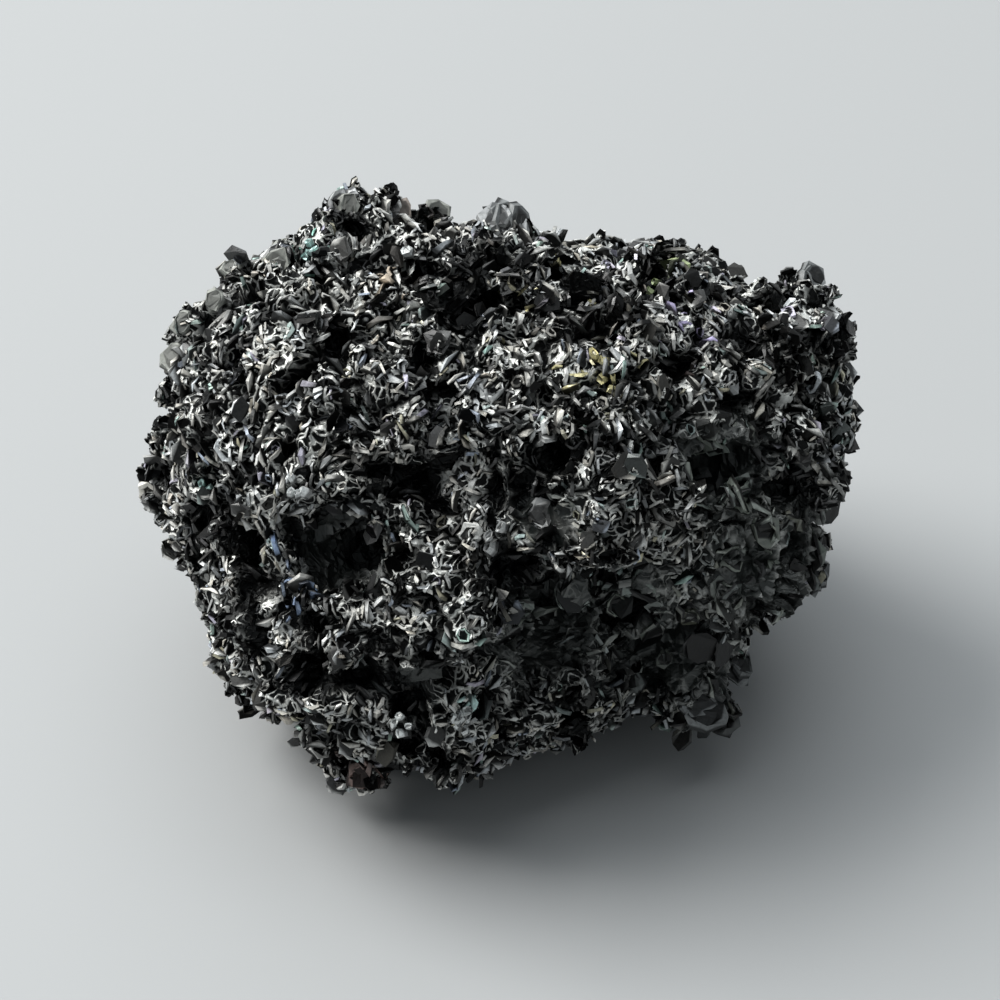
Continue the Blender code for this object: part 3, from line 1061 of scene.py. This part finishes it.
@dataclass
class Seats:
    """Places on the crust where crystals grow.

    Attributes:
        places: Their places.
        ways_out: The way out of the crust at each.
        high: How high each is, from 0 in a pit to 1.
        smooth: How smooth the crust is there, from 0 to 1.
    """

    places: np.ndarray
    ways_out: np.ndarray
    high: np.ndarray
    smooth: np.ndarray

    @classmethod
    def on(cls, crust: bpy.types.Object, count: int, bare: float, ground: Ground,
           chance: np.random.Generator) -> "Seats":
        """Spreads seats over the crust, fewer in its pits.

        Args:
            crust: The crust.
            count: How many.
            bare: How bare the pits are, from 0 to 1.
            ground: Which places they keep to.
            chance: The source of randomness.

        Returns:
            The seats.
        """
        mesh = crust.data
        mesh.calc_loop_triangles()
        spots = np.empty(len(mesh.vertices) * 3, np.float32)
        mesh.vertices.foreach_get("co", spots)
        normals = np.empty(len(mesh.vertices) * 3, np.float32)
        mesh.vertices.foreach_get("normal", normals)
        high = np.empty(len(mesh.vertices), np.float32)
        mesh.attributes["high"].data.foreach_get("value", high)
        smooth = np.empty(len(mesh.vertices), np.float32)
        mesh.attributes["smooth"].data.foreach_get("value", smooth)
        corners = np.empty(len(mesh.loop_triangles) * 3, np.int32)
        mesh.loop_triangles.foreach_get("vertices", corners)
        spots, normals, corners = spots.reshape(-1, 3), normals.reshape(-1, 3), corners.reshape(-1, 3)
        first, second, third = (spots[corners[:, i]].astype(float) for i in range(3))
        areas = np.linalg.norm(np.cross(second - first, third - first), axis=1)
        wanted = areas * (1 - bare * (1 - high[corners].mean(axis=1)))
        if ground is Ground.ROUGH:
            wanted *= (1 - 0.96 * smooth[corners].mean(axis=1)) ** 1.5
        if ground is Ground.SMOOTH:
            wanted *= smooth[corners].mean(axis=1) ** 2
        chosen = chance.choice(len(corners), count, p=wanted / wanted.sum())
        share = np.sort(chance.random((count, 2)), axis=1)
        weights = np.stack([share[:, 0], share[:, 1] - share[:, 0], 1 - share[:, 1]], axis=1)
        places = np.einsum("nk,nkj->nj", weights, spots[corners[chosen]].astype(float))
        ways_out = np.einsum("nk,nkj->nj", weights, normals[corners[chosen]].astype(float))
        heights = np.einsum("nk,nk->n", weights, high[corners[chosen]].astype(float))
        smoothness = np.einsum("nk,nk->n", weights, smooth[corners[chosen]].astype(float))
        return cls(places, unit(ways_out), heights, smoothness)


@dataclass(frozen=True)
class GrainPatch:
    """A place where crystals stand side by side, with their crests the same way.

    Attributes:
        across: Millimetres to the right of the view's middle.
        up: Millimetres above it.
        spread: Millimetres that it reaches.
        way: The way that the crests run, as parts across, up and near.
    """

    across: float
    up: float
    spread: float
    way: Triple


@dataclass
class GrowthDirections:
    """How crystals side by side share a direction.

    Attributes:
        patches: The places where it can be seen which way the crests run, by name.
        cell: Millimetres across a patch of neighbours elsewhere.
    """

    patches: dict[str, GrainPatch] = field(default_factory=lambda: {
        "under_peak": GrainPatch(-5.7, 12.0, 1.8, (0.15, -1.0, 0.2)),
        "ridge_book": GrainPatch(7.6, 6.2, 2.1, (0.72, -0.7, 0.0)),
        "lower_book": GrainPatch(5.4, 3.2, 1.6, (0.45, -0.9, 0.0)),
        "middle_fan": GrainPatch(0.3, 0.6, 1.5, (0.6, 0.8, 0.0)),
        "left_column": GrainPatch(-9.0, 2.0, 1.6, (0.1, 1.0, 0.0)),
        "left_flank": GrainPatch(-13.0, 2.0, 2.5, (0.5, -0.85, 0.0)),
        "top_right": GrainPatch(9.8, 8.6, 1.8, (0.9, -0.4, 0.0)),
        "far_right": GrainPatch(14.0, 5.0, 1.8, (0.3, -0.95, 0.0)),
        "lower_left": GrainPatch(-7.5, -6.5, 2.2, (0.6, 0.8, 0.0)),
    })
    cell: float = 1.7

    def looks(self, seats: Seats, crust: bpy.types.Object, together: float,
              chance: np.random.Generator) -> np.ndarray:
        """The way that each crystal's broad face would point, before it leans.

        Args:
            seats: Where the crystals grow.
            crust: What they grow on.
            together: The share of them that stands as its neighbours do.
            chance: The source of randomness.

        Returns:
            Unit rows, square to the ways out.
        """
        loose = unit(chance.normal(size=seats.places.shape))
        cells = [noise.cell_vector(Vector(place) / (self.cell * MM)) for place in seats.places]
        shared = unit(np.array([cell[:] for cell in cells]) - 0.5 + loose * 0.15)
        joined = chance.random(len(loose)) < together
        wish = np.where(joined[:, None], shared, loose)
        for patch in self.patches.values():
            place, _ = VIEW.seen_on(crust, patch.across, patch.up)
            away = np.linalg.norm(seats.places - np.array(place), axis=1) / (patch.spread * MM)
            held = chance.random(len(loose)) < 0.85 * np.exp(-(away**4))
            way = unit(np.array([VIEW.turned(patch.way)[:]]) + loose * 0.2)
            wish = np.where(held[:, None], np.cross(way, seats.ways_out), wish)
        flat = wish - seats.ways_out * np.sum(wish * seats.ways_out, axis=1, keepdims=True)
        return unit(flat)


@dataclass
class CrystalCoat:
    """One kind of fine crystal all over the crust.

    Attributes:
        name: The piece's name.
        form: The shape of its crystals.
        count: How many it has.
        half_width: The least and the most half width, in millimetres.
        slender: The least and the most length against width.
        thickness: The least and the most thickness against half width.
        stand: The least and the most that a crystal stands out, in millimetres.
        lean: The least and the most angle between a broad face's way and the way out.
        together: The share of crystals that stand the way that their neighbours do.
        finish: Their finish.
        bare: How bare of them the pits are, from 0 to 1.
        uneven: How far a corner strays, as a share of the half width.
        bend: The most that one is bent, as a share of its length.
        films: How much of the thin-film colours it takes, from 0 to 1.
        roll: Degrees that a crest slopes, more or less.
        ground: Which places it keeps to.
    """

    name: str
    form: CrystalForm
    count: int
    half_width: tuple[float, float]
    slender: tuple[float, float]
    thickness: tuple[float, float]
    stand: tuple[float, float]
    lean: tuple[float, float]
    together: float
    finish: CarbideFinish
    bare: float = 0.85
    uneven: float = 0.1
    bend: float = 0.25
    films: float = 1.0
    roll: float = 14.0
    ground: Ground = Ground.ROUGH

    def build(self, crust: bpy.types.Object, tarnish_and_shade: TarnishAndShade, directions: GrowthDirections,
              chance: np.random.Generator) -> bpy.types.Object:
        """Makes the piece.

        Args:
            crust: What the crystals grow on.
            tarnish_and_shade: Their colours.
            directions: The ways that they stand.
            chance: The source of randomness.

        Returns:
            The piece.
        """
        seats = Seats.on(crust, self.count, self.bare, self.ground, chance)
        flat = directions.looks(seats, crust, self.together, chance)
        lean = np.radians(chance.uniform(*self.lean, self.count))[:, None]
        looks = unit(flat * np.sin(lean) + seats.ways_out * np.cos(lean))
        crests = np.cross(seats.ways_out, flat)
        roll = chance.normal(0, math.radians(self.roll), self.count)[:, None]
        tips = unit(crests * np.cos(roll) + np.cross(looks, crests) * np.sin(roll))
        low, high = self.half_width
        half_width = low * (high / low) ** chance.random(self.count) * MM
        length = half_width * chance.uniform(*self.slender, self.count)
        thickness = half_width * chance.uniform(*self.thickness, self.count)
        reach = half_width * 0.87 * np.sin(lean[:, 0]) + thickness / 2 * np.cos(lean[:, 0])
        stand = np.minimum(chance.uniform(*self.stand, self.count) * MM, reach * 1.5)
        # Painted shade: crystals seated deep in pits and in the gaps between clumps are darkened towards black.
        dark_tone_and_shade = 0.04 + 0.96 * np.clip(seats.high * 1.7 - 0.4, 0, 1) ** 1.5
        grown = Growth(
            middles=seats.places + seats.ways_out * (stand - reach)[:, None],
            tips=tips,
            looks=looks,
            sizes=np.stack([length, half_width, thickness], axis=1),
            colours=tarnish_and_shade.colours(seats, crust, self.films, chance) * dark_tone_and_shade[:, None],
            dull=chance.random(self.count),
            bends=chance.uniform(-self.bend, self.bend, self.count),
        )
        piece = grown.build(self.name, self.form, self.uneven, 0.01 * MM, chance)
        piece.data.materials.append(self.finish.material())
        return piece


@dataclass(frozen=True)
class Bundle:
    """Larger crystals that can be told apart: one, or several side by side.

    Attributes:
        across: Millimetres to the right of the view's middle.
        up: Millimetres above it.
        count: How many.
        half_length: Half the length of each, in millimetres.
        half_width: Half the width.
        thickness: The thickness.
        spacing: Millimetres from one to the next.
        out: Millimetres that its middle lies out of the crust.
        tip: The way that the tips point, as parts across, up and near.
        looks: The way that the broad faces point, in the same parts.
        colour: The tarnish.
        dull: How dull it is, from 0 to 1.
        scatter: Millimetres that each one strays from its place.
    """

    across: float
    up: float
    count: int
    half_length: float
    half_width: float
    thickness: float
    spacing: float
    out: float
    tip: Triple
    looks: Triple
    colour: Colour
    dull: float = 0.3
    scatter: float = 0.0


SILVER = (0.60, 0.61, 0.60)
GREY = (0.36, 0.37, 0.37)
DIM = (0.17, 0.18, 0.18)
FLASH = (0.80, 0.83, 0.82)
TO_KEY = (-0.40, 0.42, 0.82)
ROOTED = 0.38  # a scattered crystal's middle is this far from its foot, as a share of its thickness


PLATES = {
    "peak_plate": Bundle(-6.6, 13.1, 2, 0.8, 0.6, 0.3, 0.5, 0.1, (0.3, 1.0, 0.0), (0.2, 0.1, 1.0), GREY, 0.7),
    "top_bump": Bundle(0.1, 13.6, 4, 1.0, 0.6, 0.35, 0.4, -0.1, (0.25, 1.0, 0.0), (0.5, 0.1, 0.8), DIM, 0.8),
    "top_bump_cross": Bundle(0.2, 13.6, 3, 0.8, 0.7, 0.35, 0.4, 0.1, (1.0, 0.4, 0.0), (0.0, 0.4, 0.9),
                             GREY, 0.8),
    "corner_bump": Bundle(13.3, 9.9, 4, 0.7, 0.45, 0.3, 0.34, -0.1, (-0.2, 1.0, 0.0), (0.5, 0.1, 0.8),
                          DIM, 0.8),
    "shoulder_plate": Bundle(-9.9, 11.2, 2, 0.7, 0.5, 0.2, 0.4, 0.1, (1.0, 0.4, 0.0), (-0.3, 0.5, 0.8), GREY),
    "middle_plate": Bundle(1.9, -0.5, 2, 0.9, 0.7, 0.22, 0.6, 0.2, (1.0, 0.5, 0.0), (-0.2, -0.1, 1.0),
                           GREY, 0.8),
    "lower_right_plate": Bundle(8.7, -8.5, 2, 1.1, 0.75, 0.3, 0.5, 0.0, (1.0, 0.1, 0.0), (0.3, 0.3, 0.9),
                                DIM, 0.7),
    "lower_right_leaf": Bundle(10.1, -6.6, 2, 0.9, 0.6, 0.25, 0.4, 0.1, (0.5, -0.9, 0.0), (0.5, 0.3, 0.8),
                               DIM, 0.6),
    "right_step_plate": Bundle(13.4, -2.8, 2, 0.9, 0.7, 0.3, 0.5, 0.05, (0.6, -0.8, 0.0), (0.2, 0.2, 1.0),
                               DIM, 0.7),
    "foot_plate": Bundle(-5.6, -11.2, 1, 1.0, 0.7, 0.25, 0.0, 0.1, (1.0, 0.4, 0.0), (0.0, -0.4, 0.9),
                         RUST, 0.7),
}
RIM_GREY = (0.30, 0.31, 0.28)
RIM_PLATES = {
    "peak_face": Bundle(-6.5, 13.0, 1, 0.75, 0.6, 0.25, 0.0, 0.1, (0.3, 1.0, 0.0), (0.1, 0.0, 1.0), RIM_GREY, 0.8),
    "peak_right_face": Bundle(-4.4, 12.8, 2, 0.55, 0.4, 0.2, 0.45, 0.08, (0.1, 1.0, 0.0), (0.3, 0.1, 1.0),
                              (0.34, 0.29, 0.25), 0.8),
    "top_face": Bundle(-2.7, 12.8, 1, 0.65, 0.5, 0.2, 0.0, 0.08, (1.0, -0.4, 0.0), (0.2, 0.1, 1.0), RIM_GREY, 0.8),
    "first_shoulder_face": Bundle(-9.8, 11.6, 1, 0.7, 0.5, 0.2, 0.0, 0.08, (1.0, 0.4, 0.0), (-0.2, 0.1, 1.0),
                                  RIM_GREY, 0.8),
    "second_shoulder_face": Bundle(-11.5, 10.4, 1, 0.65, 0.55, 0.2, 0.0, 0.08, (0.6, 1.0, 0.0),
                                   (-0.2, 0.1, 1.0), RIM_GREY, 0.8),
    "inner_shoulder_face": Bundle(-9.6, 10.5, 1, 0.7, 0.55, 0.2, 0.0, 0.1, (0.5, 1.0, 0.0),
                                  (-0.1, 0.0, 1.0), RIM_GREY, 0.8),
    "third_shoulder_face": Bundle(-12.5, 9.2, 1, 0.65, 0.5, 0.2, 0.0, 0.08, (0.7, 0.8, 0.0),
                                  (-0.3, 0.1, 1.0), RIM_GREY, 0.8),
    "upper_left_face": Bundle(-13.6, 8.0, 1, 0.7, 0.5, 0.2, 0.0, 0.08, (0.5, 1.0, 0.0), (-0.3, 0.0, 1.0),
                              RIM_GREY, 0.8),
    "left_face": Bundle(-14.0, 6.6, 1, 0.7, 0.5, 0.2, 0.0, 0.08, (0.2, 1.0, 0.0), (-0.3, 0.0, 1.0),
                        RIM_GREY, 0.8),
}
GLINTS = {
    "top_ring": Bundle(-3.8, 10.9, 1, 0.27, 0.26, 0.42, 0.0, 0.45, (0.0, 1.0, 0.0), TO_KEY, FLASH, 0.0, 0.05),
    "teal_glint": Bundle(-8.0, 11.0, 4, 0.22, 0.18, 0.42, 0.0, 0.4, (0.8, 0.4, 0.0), TO_KEY, PALE_TEAL, 0.0, 0.25),
    "shoulder_glint": Bundle(-6.9, 11.6, 4, 0.2, 0.15, 0.42, 0.0, 0.4, (0.2, 1.0, 0.0), TO_KEY,
                             SILVER, 0.1, 0.25),
    "gold_glint": Bundle(4.4, 5.9, 6, 0.22, 0.14, 0.42, 0.0, 0.4, (0.4, -1.0, 0.0), TO_KEY, GOLD, 0.0, 0.35),
    "lime_glint": Bundle(6.8, 9.5, 4, 0.2, 0.14, 0.42, 0.0, 0.4, (0.4, 1.0, 0.0), TO_KEY, LIME, 0.1, 0.25),
    "middle_glint": Bundle(-0.4, -1.6, 6, 0.28, 0.18, 0.42, 0.0, 0.35, (0.2, 1.0, 0.0), TO_KEY, SILVER, 0.1, 0.3),
    "front_glint": Bundle(-1.6, -8.8, 9, 0.26, 0.2, 0.42, 0.0, 0.5, (0.7, -0.7, 0.0), TO_KEY, FLASH, 0.0, 0.35),
    "foot_glint": Bundle(-4.2, -9.5, 4, 0.2, 0.15, 0.42, 0.0, 0.4, (0.8, 0.6, 0.0), TO_KEY, FLASH, 0.1, 0.25),
    "right_glint": Bundle(6.1, 2.1, 7, 0.25, 0.17, 0.42, 0.0, 0.45, (0.3, -1.0, 0.0), TO_KEY, FLASH, 0.0, 0.35),
    "left_glint": Bundle(-8.4, 0.9, 5, 0.22, 0.16, 0.42, 0.0, 0.4, (0.2, 1.0, 0.0), TO_KEY, FLASH, 0.1, 0.3),
    "low_left_glint": Bundle(-8.3, -2.6, 5, 0.2, 0.15, 0.42, 0.0, 0.4, (0.5, 0.9, 0.0), TO_KEY,
                             SILVER, 0.1, 0.3),
    "side_glint": Bundle(-12.2, 1.3, 4, 0.22, 0.17, 0.42, 0.0, 0.35, (0.4, 1.0, 0.0), TO_KEY, PALE_TEAL, 0.1, 0.3),
}


@dataclass
class NamedCrystals:
    """Crystals that can be told apart, each at its own place.

    Attributes:
        name: The piece's name.
        bundles: The bundles, by name.
        form: The shape that they share.
        finish: Their finish.
        uneven: How far a corner strays, as a share of the half width.
    """

    name: str
    bundles: dict[str, Bundle]
    form: CrystalForm
    finish: CarbideFinish
    uneven: float = 0.17

    def build(self, crust: bpy.types.Object, chance: np.random.Generator) -> bpy.types.Object:
        """Makes the piece.

        Args:
            crust: What the crystals grow on.
            chance: The source of randomness.

        Returns:
            The piece.
        """
        rows: list[tuple] = []
        for bundle in self.bundles.values():
            rows.extend(self._crystals(bundle, crust, chance))
        columns = [np.array(column) for column in zip(*rows)]
        grown = Growth(*columns)
        piece = grown.build(self.name, self.form, self.uneven, 0.01 * MM, chance)
        piece.data.materials.append(self.finish.material())
        return piece

    @staticmethod
    def _crystals(bundle: Bundle, crust: bpy.types.Object, chance: np.random.Generator) -> list[tuple]:
        """The crystals of a bundle.

        Args:
            bundle: The bundle.
            crust: What it grows on.
            chance: The source of randomness.

        Returns:
            A row of Growth's values for each crystal.
        """
        place, _ = VIEW.seen_on(crust, bundle.across, bundle.up)
        start = place + VIEW.near * bundle.out * MM
        size = np.array([bundle.half_length, bundle.half_width, bundle.thickness]) * MM
        rows = []
        for index in range(bundle.count):
            loose = 0.12 + bundle.scatter
            looks = (VIEW.turned(bundle.looks) + Vector(chance.normal(0, loose, 3))).normalized()
            tip = VIEW.turned(bundle.tip) + Vector(chance.normal(0, loose, 3))
            tip = (tip - looks * tip.dot(looks)).normalized()
            apart = (VIEW.near.cross(tip) * -1).normalized()
            step = (index - (bundle.count - 1) / 2) * bundle.spacing * MM
            middle = start + apart * step + tip * 0.3 * step
            middle += Vector(chance.normal(0, bundle.scatter * MM, 3))
            if bundle.scatter:
                _, foot, _, _ = crust.closest_point_on_mesh(middle)
                middle = foot + looks * ROOTED * size[2]
            length = chance.uniform(0.75, 1.1)
            bend = chance.uniform(-0.15, 0.15)
            rows.append((middle[:], tip[:], looks[:], size * length, bundle.colour, bundle.dull, bend))
        return rows


@dataclass
class Cluster:
    """The whole cluster: its crust, its coats of fine crystals and its named ones."""

    crust: Crust = field(default_factory=Crust)
    tarnish_and_shade: TarnishAndShade = field(default_factory=TarnishAndShade)
    directions: GrowthDirections = field(default_factory=GrowthDirections)
    named: tuple[NamedCrystals, ...] = (
        NamedCrystals("named_plates", PLATES, CrystalForm(Habit.HOPPER, sides=8, taper=0.85, steps=EDGED),
                      CarbideFinish("named_plate", heart=0.15, core=0.7, grain=0.16)),
        NamedCrystals("glints", GLINTS, CrystalForm(Habit.HOPPER, steps=DISHED),
                      CarbideFinish("glint", heart=0.2, core=0.4, smooth=0.2), 0.2),
        NamedCrystals("rim_plates", RIM_PLATES, CrystalForm(Habit.HOPPER, sides=7, taper=0.85, steps=EDGED),
                      CarbideFinish("rim_plate", heart=0.4, core=0.3, smooth=0.4, grain=0.3), 0.13),
    )
    coats: tuple[CrystalCoat, ...] = (
        CrystalCoat("upright_plates", CrystalForm(Habit.BLADE, crest=-0.1), 1700,
                    (0.3, 0.55), (0.9, 1.3), (0.22, 0.34), (0.22, 0.48), (72, 90), 0.5,
                    CarbideFinish("upright_plate", heart=0.08, core=0.6, smooth=0.3), uneven=0.13,
                    roll=9.0),
        CrystalCoat("walls", CrystalForm(Habit.BLADE, crest=0.0), 3700,
                    (0.18, 0.38), (1.0, 1.7), (0.3, 0.45), (0.1, 0.34), (70, 90), 0.5,
                    CarbideFinish("wall", smooth=0.24), uneven=0.13),
        CrystalCoat("small_walls", CrystalForm(Habit.BLADE, crest=0.1), 4500,
                    (0.11, 0.22), (1.0, 2.2), (0.5, 0.7), (0.06, 0.24), (60, 90), 0.5,
                    CarbideFinish("small_wall", grain=0.09)),
        CrystalCoat("hoppers", CrystalForm(Habit.HOPPER, steps=SUNKEN), 3000,
                    (0.14, 0.3), (1.0, 1.7), (0.4, 0.8), (0.05, 0.24), (0, 60), 0.4,
                    CarbideFinish("hopper"), uneven=0.16),
        CrystalCoat("plates", CrystalForm(Habit.HOPPER, steps=STEPPED), 450,
                    (0.3, 0.5), (1.0, 1.5), (0.3, 0.5), (0.05, 0.26), (10, 70), 0.5,
                    CarbideFinish("plate", heart=0.08, grain=0.16), uneven=0.18, films=0.4),
        CrystalCoat("broad_plates", CrystalForm(Habit.HOPPER, sides=7, steps=EDGED), 260,
                    (0.36, 0.7), (1.0, 1.5), (0.25, 0.4), (0.02, 0.18), (5, 65), 0.3,
                    CarbideFinish("broad_plate", heart=0.03, core=0.6, grain=0.25), uneven=0.2,
                    films=0.2, bend=0.1, ground=Ground.SMOOTH),
    )

    def build(self) -> list[bpy.types.Object]:
        """Makes every piece and lets them ride on the solid's body.

        Returns:
            The pieces.
        """
        chance = np.random.default_rng(SEED)
        noise.seed_set(SEED)
        crust = self.crust.build()
        pieces = [coat.build(crust, self.tarnish_and_shade, self.directions, chance) for coat in self.coats]
        pieces.extend(named.build(crust, chance) for named in self.named)
        ground = self.crust.pieces(crust)
        for piece in ground:
            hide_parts(NODE)
        pieces.extend(ground)
        for piece in pieces:
            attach(piece, BODY)
            piece.data.calc_loop_triangles()
            log.info("%s: %d triangles", piece.name, len(piece.data.loop_triangles))
        return pieces


@dataclass
class Studio:
    """A pale floor, soft lights and an even surround.

    Attributes:
        floor_size: Millimetres along the floor's side.
        surround: Colour of the surround.
        surround_power: Its strength.
        lamps: Name, place in millimetres, size in millimetres, power in watts and colour of each light.
    """

    floor_size: float = 1600.0
    surround: Colour = (0.80, 0.86, 0.90)
    surround_power: float = 0.35
    lamps: tuple[tuple[str, Triple, float, float, Colour], ...] = (
        ("key", (-400.0, 120.0, 450.0), 420.0, 5.7, (1.0, 0.99, 0.97)),
        ("top", (-100.0, 200.0, 700.0), 900.0, 5.2, (0.93, 0.97, 1.0)),
    )

    def build(self) -> None:
        """Makes the floor, the lights and the surround."""
        self._floor()
        for name, place, size, power, colour in self.lamps:
            self._lamp(name, Vector(place) * MM, size * MM, power, colour)
        world = bpy.data.worlds.new("surround")
        world.use_nodes = True
        background = world.node_tree.nodes["Background"]
        background.inputs["Color"].default_value = (*self.surround, 1.0)
        background.inputs["Strength"].default_value = self.surround_power
        bpy.context.scene.world = world

    def _floor(self) -> None:
        """Makes the floor."""
        bm = bmesh.new()
        bmesh.ops.create_grid(bm, x_segments=4, y_segments=4, size=self.floor_size / 2 * MM)
        mesh = bpy.data.meshes.new("floor")
        bm.to_mesh(mesh)
        bm.free()
        mesh.materials.append(FloorFinish().material())
        floor = bpy.data.objects.new("floor", mesh)
        bpy.context.scene.collection.objects.link(floor)

    @staticmethod
    def _lamp(name: str, place: Vector, size: float, power: float, colour: Colour) -> None:
        """Makes a square light that shines at the cluster.

        Args:
            name: Its name.
            place: Where it is.
            size: Its side, in metres.
            power: Its power in watts.
            colour: Its colour.
        """
        data = bpy.data.lights.new(name, "AREA")
        data.size = size
        data.energy = power
        data.color = colour
        lamp = bpy.data.objects.new(name, data)
        lamp.location = place
        lamp.rotation_euler = (VIEW.middle - place).to_track_quat("-Z", "Y").to_euler()
        bpy.context.scene.collection.objects.link(lamp)


def main() -> None:
    """Builds the camera, the cluster and the studio."""
    logging.basicConfig(level=logging.INFO, format="%(name)s %(message)s")
    VIEW.camera()
    Cluster().build()
    Studio().build()
    bpy.context.scene.view_settings.view_transform = "Standard"


if __name__ == "__main__":
    main()
